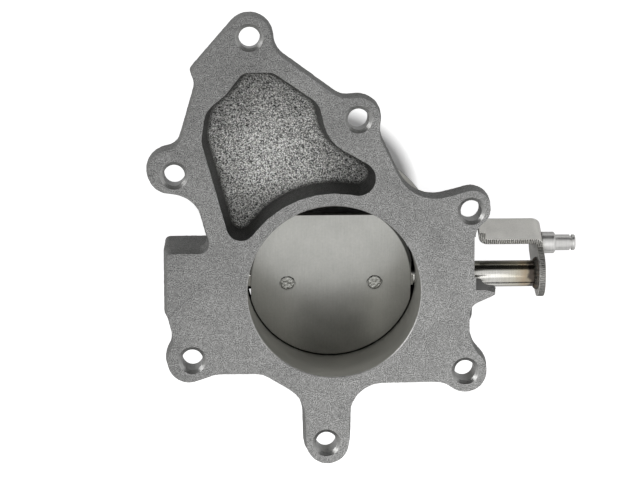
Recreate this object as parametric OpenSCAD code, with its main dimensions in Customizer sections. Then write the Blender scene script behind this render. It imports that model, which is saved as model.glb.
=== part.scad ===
// Exhaust outlet adapter with a butterfly back-pressure valve.
// The machined inlet face looks up at z = body_h, the clamp lip stands on z = 0,
// and the gas bore runs along Z. The valve shaft runs along X and its lever is on +X.

/* [Gas bore and outlet] */
// Distance from the outlet face to the machined inlet face
body_h = 80; // [76:1:100]
// Diameter of the gas bore
bore_d = 76.2; // [74:0.1:78]
// Thickness of the cast wall around the gas bore
bore_wall = 6; // [4:0.5:8]
// Outside diameter of the clamp lip
lip_d = 110; // [106:0.5:116]
// Thickness of the clamp lip at its rim
lip_t = 4.5; // [3:0.5:7]
// Slope of the clamp lip's upper side
lip_slope = 20; // [10:1:30]
// Diameter of the neck above the clamp lip
neck_d = 100; // [97:0.5:104]
// Thickness of the neck's wall around the outlet mouth
mouth_wall = 4; // [3:0.5:5]
// Straight depth of the outlet mouth
mouth_h = 6; // [4:0.5:9]
// Height at which the flare has narrowed to the gas bore
flare_h = 24; // [18:0.5:26]

/* [Inlet flange] */
// Thickness of the flange
flange_t = 14; // [10:0.5:18]
// Growth of the cast flange beyond its outline on the machined face
flange_grow = 1.2; // [0.4:0.1:2]
// Diameter of the bolt holes
bolt_hole_d = 9.2; // [8:0.1:10]
// Width of the chamfer around each bolt hole
bolt_chamfer = 1.5; // [0.5:0.1:2]
// Width of the chamfer at the gas bore's edge
bore_chamfer = 0.4; // [0.2:0.1:1]
// Radius of the cast lugs around the bolt holes
lug_r = 9.5; // [8.5:0.5:11]
// Radius of the smaller lug beside the lever
small_lug_r = 8; // [7:0.5:9]
// Inside radius of the tight roundings between the lugs
foot_small = 7; // [6:0.5:8]
// Inside radius of the middle roundings between the lugs
foot_mid = 10; // [8:0.5:11]
// Inside radius of the wide roundings between the lugs
foot_wide = 14.5; // [13:0.5:16]
// Inside radius of the valley between the two right-hand lugs, and of the pocket's neck
valley_r = 18; // [16:0.5:18]

/* [Pocket] */
// Depth of the cast pocket
pocket_depth = 25; // [15:0.5:30]
// Thickness of the wall around and under the pocket
pocket_wall = 4.5; // [3:0.5:5]
// Width of the web between the pocket and the gas bore
pocket_web = 5.6; // [4.5:0.1:8]
// Distance from the bore's axis to the pocket's straight top edge
pocket_top = 96.5; // [94:0.5:98]
// Radius of the pocket's end on the lever's side
pocket_tip_r = 7.5; // [6:0.5:8]
// Radius of the pocket's end beside the blind boss
pocket_end_r = 6.5; // [5:0.5:8]
// Radius of the pocket's two top corners
pocket_corner_r = 5; // [3:0.5:6]
// Diameter of the raised round mark on the pocket's floor
mark_d = 8.4; // [5:0.1:10]
// Height of the raised round mark
mark_h = 0.6; // [0.3:0.1:1]

/* [Shaft and bosses] */
// Depth of the shaft's axis below the inlet face
shaft_depth = 41.4; // [40:0.1:44]
// Diameter of the valve shaft
shaft_d = 12; // [10:0.1:12.5]
// Radial running clearance of the shaft in its bushings
run_gap = 0.03; // [0.02:0.01:0.05]
// Radial clearance of the shaft in the casting
free_gap = 0.3; // [0.2:0.05:0.6]
// Distance from the bore's axis to the end of the blind boss
blind_reach = 75; // [72:0.5:80]
// Outside radius of the blind boss
blind_r = 18.5; // [16:0.5:20]
// How far the blind boss's upper block reaches below the shaft's axis in the face view
blind_low = 12; // [8:0.5:15]
// Distance from the bore's axis to the milled end of the drive boss
drive_reach = 61.5; // [58:0.5:63]
// Outside radius of the drive boss
drive_r = 15; // [12.5:0.5:17]
// Distance from the bore's axis to the end of the flange's ear beside the lever
ear_reach = 71.5; // [70:0.5:73]
// Offset of the ear's milled side from the shaft's axis in the face view
ear_top = 0.3; // [0:0.1:1]
// Length of the rib under the ear, away from the drive boss
rib_l = 6; // [4:0.5:6]
// Height of the rib under the ear
rib_h = 14.5; // [10:0.5:16]
// Radius that the cutter leaves between the flange's side and the ear
mill_r = 1; // [0.5:0.5:3]

/* [Bushings, rings and plug] */
// Outside diameter of the bushings
bush_d = 16; // [15:0.5:18]
// Length of each bushing
bush_l = 16; // [13:0.5:18]
// Thickness of the seal rings along the shaft
ring_t = 1.5; // [1:0.1:2]
// Depth of the seal rings' grooves
ring_groove = 1.4; // [1:0.1:1.8]
// Side clearance of a seal ring in its groove
ring_gap = 0.05; // [0.02:0.01:0.1]
// Pitch of the two seal rings along the shaft
ring_pitch = 4.5; // [3.5:0.5:6]
// Width of the cut in each seal ring
ring_cut = 0.6; // [0.3:0.1:1.5]
// Diameter of the expansion plug
plug_d = 20; // [19:0.5:22]
// Length of the expansion plug's rim
plug_l = 4; // [3:0.5:5]
// Sheet thickness of the expansion plug
plug_t = 1.5; // [1:0.1:2]

/* [Butterfly plate] */
// Thickness of the plate
plate_t = 2.8; // [2:0.1:3]
// Tilt of the closed plate
plate_tilt = 16.5; // [14:0.5:20]
// Height of the shaft's flat that the plate sits on, above the shaft's axis
plate_seat = 5.4; // [5:0.1:5.6]
// Gap between the closed plate and the gas bore
plate_gap = 0.5; // [0.45:0.05:0.8]
// Width of the plate between its two side flats
plate_w = 72.6; // [70:0.2:72.8]
// Distance from the shaft to the straight edge at the plate's top
plate_top = 34.2; // [30:0.2:36]
// Distance between the plate's two screws
screw_pitch = 39.6; // [30:0.1:46]
// Diameter of the plate screws
screw_d = 6; // [5:0.1:6.4]
// Diameter of the screws' heads
screw_head_d = 9.6; // [8:0.1:10]
// Height of the screws' heads
screw_head_h = 3; // [2:0.1:4]
// Radial clearance of the screws in the plate and the shaft
screw_gap = 0.05; // [0.02:0.01:0.2]
// Height of the screws' riveted ends above the plate
rivet_h = 0.4; // [0.2:0.1:1]

/* [Lever and clevis stud] */
// Sheet thickness of the lever
sheet_t = 3.1; // [2.5:0.1:3.5]
// Distance from the bore's axis to the lever wall's outer face
wall_x = 97.8; // [92:0.2:104]
// Distance from the bore's axis to the lever tab's outer face
tab_x = 67.6; // [66:0.2:72]
// Lean of the lever's bridge towards the inlet side
bridge_lean = 30; // [20:1:40]
// Distance from the shaft's axis to the bridge's outer face
bridge_rise = 15.4; // [14:0.2:18]
// Offset of the bridge's front edge from the shaft's axis
bridge_offset = 6; // [4:0.2:7]
// Width of the bridge
bridge_w = 15.3; // [13:0.1:18]
// Inside radius of the lever's bends
bend_r = 1.4; // [0.8:0.1:2]
// Length of the tab beyond the bridge
tab_l = 4; // [2:0.5:6]
// Radius of the lever's hub around the shaft
hub_r = 10.6; // [9.5:0.1:12]
// Radius of the rounded lobe at the lever's rear
lobe_r = 6; // [4:0.5:7]
// Size of the weld bead at the lever's hub
weld_r = 2.3; // [1.5:0.1:3]
// Distance of the stud from the shaft's axis, away from the hub
stud_rise = 7.6; // [7:0.1:8.5]
// Offset of the stud from the shaft's axis, along the bridge's width
stud_offset = 12.8; // [11:0.1:14]
// Diameter of the stud's collar
collar_d = 10; // [8.5:0.1:11]
// Length of the stud's collar
collar_l = 6; // [4:0.5:8]
// Diameter of the stud's pin
pin_d = 7.4; // [6:0.1:8]
// Length of the stud's pin
pin_l = 9.5; // [8:0.5:12]
// Width of the clip groove in the pin
clip_w = 1; // [0.6:0.1:1.4]
// Depth of the clip groove in the pin
clip_depth = 0.8; // [0.4:0.1:1]
// Distance from the clip groove to the pin's end
clip_end = 1.6; // [1.2:0.1:2.5]
// Diameter of the stud's riveted shank
shank_d = 6; // [5:0.1:6.5]

/* [Hidden] */
$fn = 96;
over = 1;

bore_r = bore_d / 2;
barrel_r = bore_r + bore_wall;
neck_r = neck_d / 2;
mouth_r = neck_r - mouth_wall;
lip_r = lip_d / 2;
flange_z = body_h - flange_t;
shaft_z = body_h - shaft_depth;
shaft_r = shaft_d / 2;
bush_r = bush_d / 2;
plug_r = plug_d / 2;
arc_step = 12;

// Bolt holes on the inlet face, from the bore's axis
hole_top = [-36.5, 111.5];
hole_upper_right = [10.5, 76];
hole_left = [-69.5, 52];
hole_right = [60, 35.5];
hole_lower_left = [-62.5, -30];
hole_lower_right = [58, -36];
hole_bottom = [-3.5, -68];
HOLES = [hole_top, hole_upper_right, hole_left, hole_right, hole_lower_left, hole_lower_right,
         hole_bottom];

// Every round of an outline is [x, y, radius], and a negative radius is an inside round.
// A cast lug stands around a bolt hole, off its centre by what the casting shifted
function lug(hole, shift = [0, 0], r = lug_r) = [hole[0] + shift[0], hole[1] + shift[1], r];

// An inside round at a lug's foot: its direction from the lug, its radius, and the length
// of the straight run between the two
function foot(from, angle, r, run = 2) =
    let (reach = norm([from[2] + r, run]))
    [from[0] + reach * cos(angle), from[1] + reach * sin(angle), -r];

// An outside round of the pocket that lies against the web around the gas bore
function beside_bore(angle, r) =
    let (reach = norm([bore_r + pocket_web + r, 2])) [reach * cos(angle), reach * sin(angle), r];

right_lug = lug(hole_right, [0.5, 1], small_lug_r);
upper_right_lug = lug(hole_upper_right);
top_lug = lug(hole_top);
left_lug = lug(hole_left, [-2, 1.5]);
lower_left_lug = lug(hole_lower_left, [-1.5, -0.5]);
bottom_lug = lug(hole_bottom, [0.5, 0]);
lower_right_lug = lug(hole_lower_right);

// The blind boss's block keeps just inside the boss's end once the flange has grown
block_edge = -blind_reach + 0.5 + flange_grow;
block_top = blind_r + 0.2 - flange_grow;
block_corner = 1.5;
block_low_r = 5;
block_foot = 4;
ear_foot = 5;
ear_corner = 2;
web_low = -36.5;

// The flange's edge at its face, counter-clockwise. Straight runs touch one round and the next.
FLANGE_EDGE = [
    right_lug,
    foot(right_lug, 126, valley_r, 10),
    foot(upper_right_lug, -15, foot_mid),
    upper_right_lug,
    foot(upper_right_lug, 104, foot_mid),
    foot(top_lug, 0, foot_mid),
    top_lug,
    [-60.5, 97, 1],
    [-62.5, 91, -3],
    foot(left_lug, 95, foot_small),
    left_lug,
    foot(left_lug, 270, foot_wide),
    [-58.5, block_top + block_foot, -block_foot],
    [block_edge + block_corner, block_top - block_corner, block_corner],
    [block_edge + block_low_r, 3 - blind_low, block_low_r],
    foot(lower_left_lug, 145, foot_small),
    lower_left_lug,
    foot(lower_left_lug, -50, foot_mid, 7.5),
    [-34.5, web_low - foot_mid, -foot_mid],
    foot(bottom_lug, 154, foot_wide, 12.5),
    bottom_lug,
    foot(bottom_lug, 27, foot_wide, 13),
    foot(lower_right_lug, 229, foot_mid),
    lower_right_lug,
    foot(lower_right_lug, 48, foot_wide),
    [drive_reach - 1.8 + ear_foot, -10, -ear_foot],
    [ear_reach - ear_corner, -0.3, ear_corner],
    [drive_reach + 3, ear_top + 5.2, -3],
    foot(right_lug, -58, foot_small)];

// The pocket's rim in the same way
pocket_tip = beside_bore(78, pocket_tip_r);
POCKET_EDGE = [
    pocket_tip,
    foot(pocket_tip, 85, valley_r, 11.5),
    [-14.5, 77.5, 9],
    [-28, pocket_top - pocket_corner_r, pocket_corner_r],
    [-37, pocket_top - pocket_corner_r, pocket_corner_r],
    [-50.5, 90.5, -5],
    [-45.5, 74, 11],
    [-50.5, 67, 7],
    beside_bore(144, pocket_end_r),
    [0, 0, -bore_r - pocket_web]];
mark_place = [-41, 35.5];

// Direction of the straight run from one round to the next; rounds that touch have none
function run_dir(a, b) =
    let (reach = norm([b[0] - a[0], b[1] - a[1]]))
    atan2(b[1] - a[1], b[0] - a[0]) - asin(max(-1, min(1, (b[2] - a[2]) / reach)));

// Turn made on a round: to the left on an outside one, to the right on an inside one
function turn(r, from, to) = r > 0 ? (to - from + 720) % 360 : -((from - to + 720) % 360);

// Points of the closed outline around a list of rounds, grown outwards
function outline(rounds, grow = 0) =
    let (n = len(rounds), runs = [for (i = [0:n - 1]) run_dir(rounds[i], rounds[(i + 1) % n])])
    [for (i = [0:n - 1])
        let (c = rounds[i], from = runs[(i + n - 1) % n], bend = turn(c[2], from, runs[i]),
             steps = max(1, ceil(abs(bend) / arc_step)), r = c[2] + grow)
        for (k = [0:steps])
            let (a = from + bend * k / steps)
            [c[0] + r * sin(a), c[1] - r * cos(a)]];

// A prism between two heights on the outline around a list of rounds
module cast_prism(rounds, z_low, z_high, grow = 0) {
    translate([0, 0, z_low]) linear_extrude(height = z_high - z_low) polygon(outline(rounds, grow));
}

// A solid turned about an axis parallel to X: profile points are [radius, x]
module turned_x(points) {
    rotate([0, 90, 0]) rotate_extrude() polygon(points);
}

module rod_x(r, x_low, x_high) {
    translate([x_low, 0, 0]) rotate([0, 90, 0]) cylinder(r = r, h = x_high - x_low);
}

module at_shaft() {
    translate([0, 0, shaft_z]) children();
}

// The tilted frame of the closed plate: Y along the plate, Z out of its inlet side
module at_plate() {
    at_shaft() rotate([plate_tilt, 0, 0]) children();
}

// The leaning frame of the lever: Y out of the bridge, -Z along the bridge's width
module at_lever() {
    at_shaft() rotate([bridge_lean, 0, 0]) children();
}

// Casting

module barrel_blank() {
    lip_chamfer = 0.8;
    slope_h = (lip_r - neck_r) * tan(lip_slope);
    rotate_extrude(convexity = 4) polygon([
        [0, 0], [lip_r - lip_chamfer, 0], [lip_r, lip_chamfer], [lip_r, lip_t],
        [neck_r, lip_t + slope_h], [neck_r, flare_h / 2], [barrel_r, flare_h],
        [barrel_r, flange_z + over], [0, flange_z + over]]);
}

module blind_boss() {
    at_shaft() rod_x(blind_r, -blind_reach, 0);
    translate([-blind_reach, -blind_low, shaft_z])
        cube([blind_reach - bore_r, blind_low + blind_r, flange_z - shaft_z + over]);
}

module drive_boss() {
    at_shaft() rod_x(drive_r, 0, drive_reach);
    translate([0, -drive_r, shaft_z]) cube([drive_reach, 2 * drive_r, flange_z - shaft_z + over]);
}

// The rib that carries the ear from the drive boss's block
module ear_rib() {
    rib_t = 5;
    translate([drive_reach - over, ear_top - rib_t, flange_z - rib_h])
        cube([rib_l + over, rib_t + over, rib_h + over]);
}

// What the cutter takes off beside the drive boss, so that the lever can swing
module lever_notch() {
    length = ear_reach + 10 - drive_reach;
    width = drive_r + 9 - ear_top;
    low_z = flange_z - rib_h - over;
    high = body_h + over - low_z;
    translate([drive_reach + mill_r, ear_top, low_z]) cube([length - mill_r, width, high]);
    translate([drive_reach, ear_top + mill_r, low_z]) cube([length, width - mill_r, high]);
    translate([drive_reach + mill_r, ear_top + mill_r, low_z]) cylinder(r = mill_r, h = high);
}

module gas_passage() {
    rotate_extrude(convexity = 4) polygon([
        [0, -over], [mouth_r, -over], [mouth_r, mouth_h], [bore_r, flare_h],
        [bore_r, body_h - bore_chamfer], [bore_r + bore_chamfer + over, body_h + over],
        [0, body_h + over]]);
}

module bolt_holes() {
    r = bolt_hole_d / 2;
    for (h = HOLES) translate([h[0], h[1], 0]) {
        translate([0, 0, flange_z - over]) cylinder(r = r, h = flange_t + 2 * over);
        translate([0, 0, body_h - bolt_chamfer])
            cylinder(r1 = r, r2 = r + bolt_chamfer + over, h = bolt_chamfer + over);
    }
}

// Bushing seats: the blind end is bored from outside and closed by the plug
inset = 0.5;
plug_seat = blind_reach - plug_l - inset;
blind_bush_end = plug_seat - inset;
drive_bush_end = drive_reach - inset;

module shaft_bores() {
    at_shaft() {
        rod_x(shaft_r + free_gap, -plug_seat, drive_reach + over);
        rod_x(bush_r, -plug_seat - over, bush_l - blind_bush_end);
        rod_x(plug_r, -blind_reach - over, -plug_seat);
        rod_x(bush_r, drive_bush_end - bush_l, drive_reach + over);
    }
}

module housing() {
    color([0.45, 0.45, 0.44]) union() {
        difference() {
            union() {
                cast_prism(FLANGE_EDGE, flange_z, body_h, flange_grow);
                cast_prism(POCKET_EDGE, body_h - pocket_depth - pocket_wall, flange_z + over, pocket_wall);
                barrel_blank();
                blind_boss();
                drive_boss();
                ear_rib();
            }
            cast_prism(POCKET_EDGE, body_h - pocket_depth, body_h + over);
            lever_notch();
            gas_passage();
            bolt_holes();
            shaft_bores();
        }
        translate([mark_place[0], mark_place[1], body_h - pocket_depth - over])
            cylinder(d = mark_d, h = mark_h + over);
    }
}

// Pieces pressed into the casting

module bushing(x_low) {
    color([0.60, 0.50, 0.35]) at_shaft() difference() {
        rod_x(bush_r, x_low, x_low + bush_l);
        rod_x(shaft_r + run_gap, x_low - over, x_low + bush_l + over);
    }
}

module blind_end_bushing() bushing(-blind_bush_end);

module drive_end_bushing() bushing(drive_bush_end - bush_l);

module expansion_plug() {
    color([0.62, 0.60, 0.52]) at_shaft() turned_x([
        [0, -plug_seat - plug_t], [plug_r - plug_t, -plug_seat - plug_t],
        [plug_r - plug_t, -plug_seat - plug_l], [plug_r, -plug_seat - plug_l],
        [plug_r, -plug_seat], [0, -plug_seat]]);
}

// Valve

// X place of a seal ring's inner side: 0 is the inner ring, 1 the outer ring
function ring_x(i) = drive_bush_end - ring_pitch * (2 - i);

module butterfly_plate() {
    front = plate_seat + plate_t;
    color([0.66, 0.66, 0.63]) difference() {
        intersection() {
            at_plate() translate([-plate_w / 2, -bore_d, plate_seat])
                cube([plate_w, bore_d + plate_top, plate_t]);
            cylinder(r = bore_r - plate_gap, h = body_h, $fn = 128);
        }
        for (side = [-1, 1]) at_plate() translate([side * screw_pitch / 2, 0, plate_seat - over])
            cylinder(d = screw_d + 2 * screw_gap, h = front + over, $fn = 48);
    }
}

// The screws' heads sit in shallow counterbores in the shaft
counterbore = 0.8;
screw_seat = shaft_r - counterbore;

module butterfly_shaft() {
    tip = 1;
    left = tip - blind_bush_end;
    flat_l = bore_d - 2 * plate_gap;
    head_room = 0.4;
    color([0.62, 0.60, 0.56]) difference() {
        at_shaft() turned_x([
            [0, left], [shaft_r - tip, left], [shaft_r, left + tip],
            for (i = [0, 1]) each [
                [shaft_r, ring_x(i) - ring_gap], [shaft_r - ring_groove, ring_x(i) - ring_gap],
                [shaft_r - ring_groove, ring_x(i) + ring_t + ring_gap],
                [shaft_r, ring_x(i) + ring_t + ring_gap]],
            [shaft_r, wall_x], [0, wall_x]]);
        at_plate() translate([-flat_l / 2, -shaft_r, plate_seat]) cube([flat_l, shaft_d, shaft_r]);
        for (side = [-1, 1]) at_plate() translate([side * screw_pitch / 2, 0, 0]) {
            translate([0, 0, -shaft_r - over])
                cylinder(d = screw_d + 2 * screw_gap, h = shaft_d + 2 * over, $fn = 48);
            translate([0, 0, -shaft_r - over])
                cylinder(d = screw_head_d + head_room, h = over + counterbore);
        }
    }
}

module plate_screw(side) {
    front = plate_seat + plate_t;
    slot_w = 1.4;
    spread_d = screw_d + 0.7;
    top_d = screw_d - 1;
    color([0.70, 0.70, 0.68]) at_plate() translate([side * screw_pitch / 2, 0, 0]) difference() {
        union() {
            translate([0, 0, -screw_seat - screw_head_h])
                cylinder(d = screw_head_d, h = screw_head_h);
            translate([0, 0, -screw_seat]) cylinder(d = screw_d, h = screw_seat + front, $fn = 48);
            translate([0, 0, front]) cylinder(d1 = spread_d, d2 = top_d, h = rivet_h, $fn = 48);
        }
        translate([-slot_w / 2, -screw_head_d, -screw_seat - screw_head_h - over])
            cube([slot_w, 2 * screw_head_d, over + screw_head_h / 2]);
    }
}

module plate_screw_left() plate_screw(-1);

module plate_screw_right() plate_screw(1);

module seal_ring(i) {
    floor_gap = 0.1;
    color([0.45, 0.43, 0.40]) at_shaft() difference() {
        rod_x(shaft_r + run_gap / 2, ring_x(i), ring_x(i) + ring_t);
        rod_x(shaft_r - ring_groove + floor_gap, ring_x(i) - over, ring_x(i) + ring_t + over);
        translate([ring_x(i) - over, -ring_cut / 2, 0]) cube([ring_t + 2 * over, ring_cut, shaft_d]);
    }
}

module seal_ring_inner() seal_ring(0);

module seal_ring_outer() seal_ring(1);

// Lever

module lever() {
    edge = 0.4;
    outer = bend_r + sheet_t;
    wall_in = wall_x - sheet_t;
    bridge_in = bridge_rise - sheet_t;
    strip_end = stud_rise - collar_d / 2;
    lobe_drop = 2.2;
    lobe_out = lobe_r / 2 - 0.3;
    // Across the sheet: tab up on the left, bridge, wall down on the right
    strip = [
        [tab_x + edge, bridge_rise + tab_l - edge, edge],
        [tab_x + outer, bridge_in + outer, outer],
        [wall_in - bend_r, bridge_in - bend_r, -bend_r],
        [wall_in + edge, strip_end + edge, edge],
        [wall_x - edge, strip_end + edge, edge],
        [wall_x - outer, bridge_rise - outer, outer],
        [tab_x + outer, bridge_rise + bend_r, -bend_r],
        [tab_x + sheet_t - edge, bridge_rise + tab_l - edge, edge]];
    // The wall seen from its end: hub, rear lobe and the two corners under the bridge
    wall = [
        [0, 0, hub_r],
        [-lobe_drop, -bridge_offset - bridge_w - lobe_out, lobe_r],
        [bridge_rise - outer - edge, edge - bridge_offset - bridge_w, edge],
        [bridge_rise - outer - edge, -bridge_offset - edge, edge]];
    color([0.68, 0.67, 0.64]) difference() {
        at_lever() {
            translate([0, 0, -bridge_offset - bridge_w])
                linear_extrude(height = bridge_w) polygon(outline(strip));
            translate([wall_in, 0, 0]) rotate([90, 0, 90])
                linear_extrude(height = sheet_t) polygon(outline(wall));
        }
        at_shaft() rod_x(shaft_r, wall_in - over, wall_x + over);
        at_lever() translate([wall_in - over, stud_rise, -stud_offset])
            rotate([0, 90, 0]) cylinder(d = shank_d, h = sheet_t + 2 * over);
    }
}

module lever_weld() {
    wall_in = wall_x - sheet_t;
    color([0.20, 0.19, 0.18]) at_shaft() rotate([0, 90, 0]) rotate_extrude() difference() {
        translate([shaft_r + weld_r / 2, wall_in - weld_r / 2]) circle(r = weld_r, $fn = 48);
        translate([0, wall_in - 2 * weld_r - over]) square([shaft_r, 4 * weld_r]);
        translate([0, wall_in]) square([shaft_r + 2 * weld_r, 2 * weld_r]);
    }
}

module clevis_stud() {
    wall_in = wall_x - sheet_t;
    pin_from = wall_x + collar_l;
    end = pin_from + pin_l;
    edge = 0.5;
    pin_r = pin_d / 2;
    shank_r = shank_d / 2;
    groove_to = end - clip_end;
    color([0.74, 0.74, 0.72]) at_lever() translate([0, stud_rise, -stud_offset]) turned_x([
        [0, wall_in - rivet_h], [shank_r - edge, wall_in - rivet_h], [shank_r, wall_in],
        [shank_r, wall_x], [collar_d / 2, wall_x], [collar_d / 2, pin_from - edge],
        [collar_d / 2 - edge, pin_from], [pin_r, pin_from], [pin_r, groove_to - clip_w],
        [pin_r - clip_depth, groove_to - clip_w], [pin_r - clip_depth, groove_to], [pin_r, groove_to],
        [pin_r, end - edge], [pin_r - edge, end], [0, end]]);
}

housing();
butterfly_plate();
butterfly_shaft();
plate_screw_left();
plate_screw_right();
blind_end_bushing();
drive_end_bushing();
seal_ring_inner();
seal_ring_outer();
expansion_plug();
lever();
lever_weld();
clevis_stud();
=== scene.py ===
"""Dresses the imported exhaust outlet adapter: casting, valve plate, shaft, lever, weld and stud."""

import math

import bmesh
import bpy
from mathutils import Matrix, Vector, noise


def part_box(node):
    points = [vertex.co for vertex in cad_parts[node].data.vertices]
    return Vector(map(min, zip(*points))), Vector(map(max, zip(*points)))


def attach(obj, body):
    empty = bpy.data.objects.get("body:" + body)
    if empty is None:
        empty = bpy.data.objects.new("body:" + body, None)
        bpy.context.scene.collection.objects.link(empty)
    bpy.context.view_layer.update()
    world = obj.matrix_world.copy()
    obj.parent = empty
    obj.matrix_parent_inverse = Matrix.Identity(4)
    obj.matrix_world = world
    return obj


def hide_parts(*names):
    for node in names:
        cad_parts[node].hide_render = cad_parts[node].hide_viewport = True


bl_info = {
    "name": "Exhaust Outlet Adapter",
    "version": (1, 0, 0),
    "blender": (4, 5, 0),
    "location": "View3D > Sidebar > Adapter",
    "description": "Builds the looks of a cast exhaust outlet adapter around its packed solids",
    "category": "Object",
}

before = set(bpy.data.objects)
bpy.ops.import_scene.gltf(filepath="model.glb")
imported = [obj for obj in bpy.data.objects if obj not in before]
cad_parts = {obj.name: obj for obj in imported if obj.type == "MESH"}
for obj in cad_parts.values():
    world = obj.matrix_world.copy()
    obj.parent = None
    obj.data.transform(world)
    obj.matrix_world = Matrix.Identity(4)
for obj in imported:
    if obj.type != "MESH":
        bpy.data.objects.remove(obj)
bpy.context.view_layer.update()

MM = 0.001

# Heights and places that every piece of the casting shares, in millimetres
FACE_Z = 80.0
FLANGE_Z = 66.0
SHAFT_Z = 38.6
POCKET_FLOOR_Z = 55.0

# Radii of the turned and drilled surfaces
BORE_R = 38.1
MOUTH_R = 46.0
NECK_R = 50.02
LIP_R = 55.0
HOLE_R = 4.6
SHAFT_R = 6.0

# The closed plate's tilt in degrees, its inlet side's height above the shaft's axis, and the
# radius of the dark joint ring around a screw's end, whose upper arc is painted shadow
PLATE_TILT = 16.5
PLATE_FACE = 8.2
SCREW_JOINT_RING_R = 3.45

# The lever's lean in degrees, its hub's radius, and where its cut edges lie once it is upright
LEVER_LEAN = 30.0
HUB_R = 10.6
HUB_START_X = 94.0
HUB_END_Y = 11.0
STRIP_START_Y = 6.0

HOLES = [(-36.5, 111.5), (10.5, 76), (-69.5, 52), (60, 35.5), (-62.5, -30), (58, -36), (-3.5, -68)]

# The flange's milled side beside the lever and the milled side of its ear
SIDE_X = 61.5
EAR_Y = 0.3
NOTCH_END_Y = 24.0

# Material slots of the casting, in order
CASTING_FINISHES = ("cast_skin", "machined_face", "bored_wall", "drilled_hole", "broken_edge_highlight",
                    "milled_notch", "pocket_skin")
CAST, FACE, BORE, DRILLED, EDGE, MILLED, POCKET = range(7)


class CastingSettings(bpy.types.PropertyGroup):
    voxel: bpy.props.FloatProperty(
        name="Cast detail", description="Size of the cells that the cast skin is built from",
        default=0.65 * MM, min=0.4 * MM, max=2 * MM, unit="LENGTH", precision=5)
    fillet: bpy.props.FloatProperty(
        name="Fillet", description="Radius of the cast fillets between the bosses and the barrel",
        default=2.4 * MM, min=0, max=5 * MM, unit="LENGTH", precision=5)
    skin: bpy.props.FloatProperty(
        name="Skin roughness", description="Depth of the cast skin's unevenness",
        default=0.10 * MM, min=0, max=0.5 * MM, unit="LENGTH", precision=5)
    flange_draft: bpy.props.FloatProperty(
        name="Flange draft", description="How far the flange's cast edge leans in at its face",
        default=1.2 * MM, min=0, max=2 * MM, unit="LENGTH", precision=5)
    pocket_draft: bpy.props.FloatProperty(
        name="Pocket draft", description="How far the pocket's walls lean in at its floor",
        default=2.2 * MM, min=0, max=3 * MM, unit="LENGTH", precision=5)
    edge_break: bpy.props.FloatProperty(
        name="Edge break", description="Width of the bright broken edge around the machined face",
        default=0.22 * MM, min=0, max=0.6 * MM, unit="LENGTH", precision=5)
    skin_colour: bpy.props.FloatVectorProperty(
        name="Cast colour", description="Colour of the cast skin", subtype="COLOR", size=3,
        default=(0.155, 0.155, 0.15), min=0, max=1)
    pocket_colour: bpy.props.FloatVectorProperty(
        name="Pocket colour", description="Colour of the blasted pocket floor", subtype="COLOR",
        size=3, default=(0.30, 0.30, 0.29), min=0, max=1)
    face_colour: bpy.props.FloatVectorProperty(
        name="Face colour", description="Colour of the machined faces", subtype="COLOR", size=3,
        default=(0.27, 0.27, 0.265), min=0, max=1)
    bore_colour: bpy.props.FloatVectorProperty(
        name="Bore colour", description="Colour of the gas bore's wall", subtype="COLOR", size=3,
        default=(0.40, 0.395, 0.365), min=0, max=1)


class ValveSettings(bpy.types.PropertyGroup):
    plate_colour: bpy.props.FloatVectorProperty(
        name="Plate colour", description="Colour of the butterfly plate", subtype="COLOR", size=3,
        default=(0.46, 0.46, 0.435), min=0, max=1)
    shaft_colour: bpy.props.FloatVectorProperty(
        name="Shaft colour", description="Colour of the ground shaft", subtype="COLOR", size=3,
        default=(0.60, 0.59, 0.56), min=0, max=1)
    heat_colour: bpy.props.FloatVectorProperty(
        name="Heat tint", description="Colour of the shaft's heat tint beside the weld",
        subtype="COLOR", size=3, default=(0.34, 0.25, 0.16), min=0, max=1)
    bushing_colour: bpy.props.FloatVectorProperty(
        name="Bushing colour", description="Colour of the sintered bushings", subtype="COLOR",
        size=3, default=(0.42, 0.31, 0.19), min=0, max=1)
    edge_radius: bpy.props.FloatProperty(
        name="Edge radius", description="Radius of the small edges of the turned and flat pieces",
        default=0.12 * MM, min=0.02 * MM, max=0.4 * MM, unit="LENGTH", precision=5)


class LeverSettings(bpy.types.PropertyGroup):
    voxel: bpy.props.FloatProperty(
        name="Lever detail", description="Size of the cells that the lever is built from",
        default=0.22 * MM, min=0.15 * MM, max=1 * MM, unit="LENGTH", precision=5)
    shear_depth: bpy.props.FloatProperty(
        name="Shear depth", description="Depth of the score lines on the lever's cut edges",
        default=0.11 * MM, min=0, max=0.3 * MM, unit="LENGTH", precision=5)
    shear_pitch: bpy.props.FloatProperty(
        name="Shear pitch", description="Distance between the score lines",
        default=0.95 * MM, min=0.3 * MM, max=3 * MM, unit="LENGTH", precision=5)
    sheet_colour: bpy.props.FloatVectorProperty(
        name="Sheet colour", description="Colour of the lever's sheet", subtype="COLOR", size=3,
        default=(0.68, 0.67, 0.635), min=0, max=1)
    weld_colour: bpy.props.FloatVectorProperty(
        name="Weld colour", description="Colour of the weld bead", subtype="COLOR", size=3,
        default=(0.13, 0.12, 0.105), min=0, max=1)
    stud_colour: bpy.props.FloatVectorProperty(
        name="Stud colour", description="Colour of the turned stud", subtype="COLOR", size=3,
        default=(0.66, 0.655, 0.64), min=0, max=1)


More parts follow.
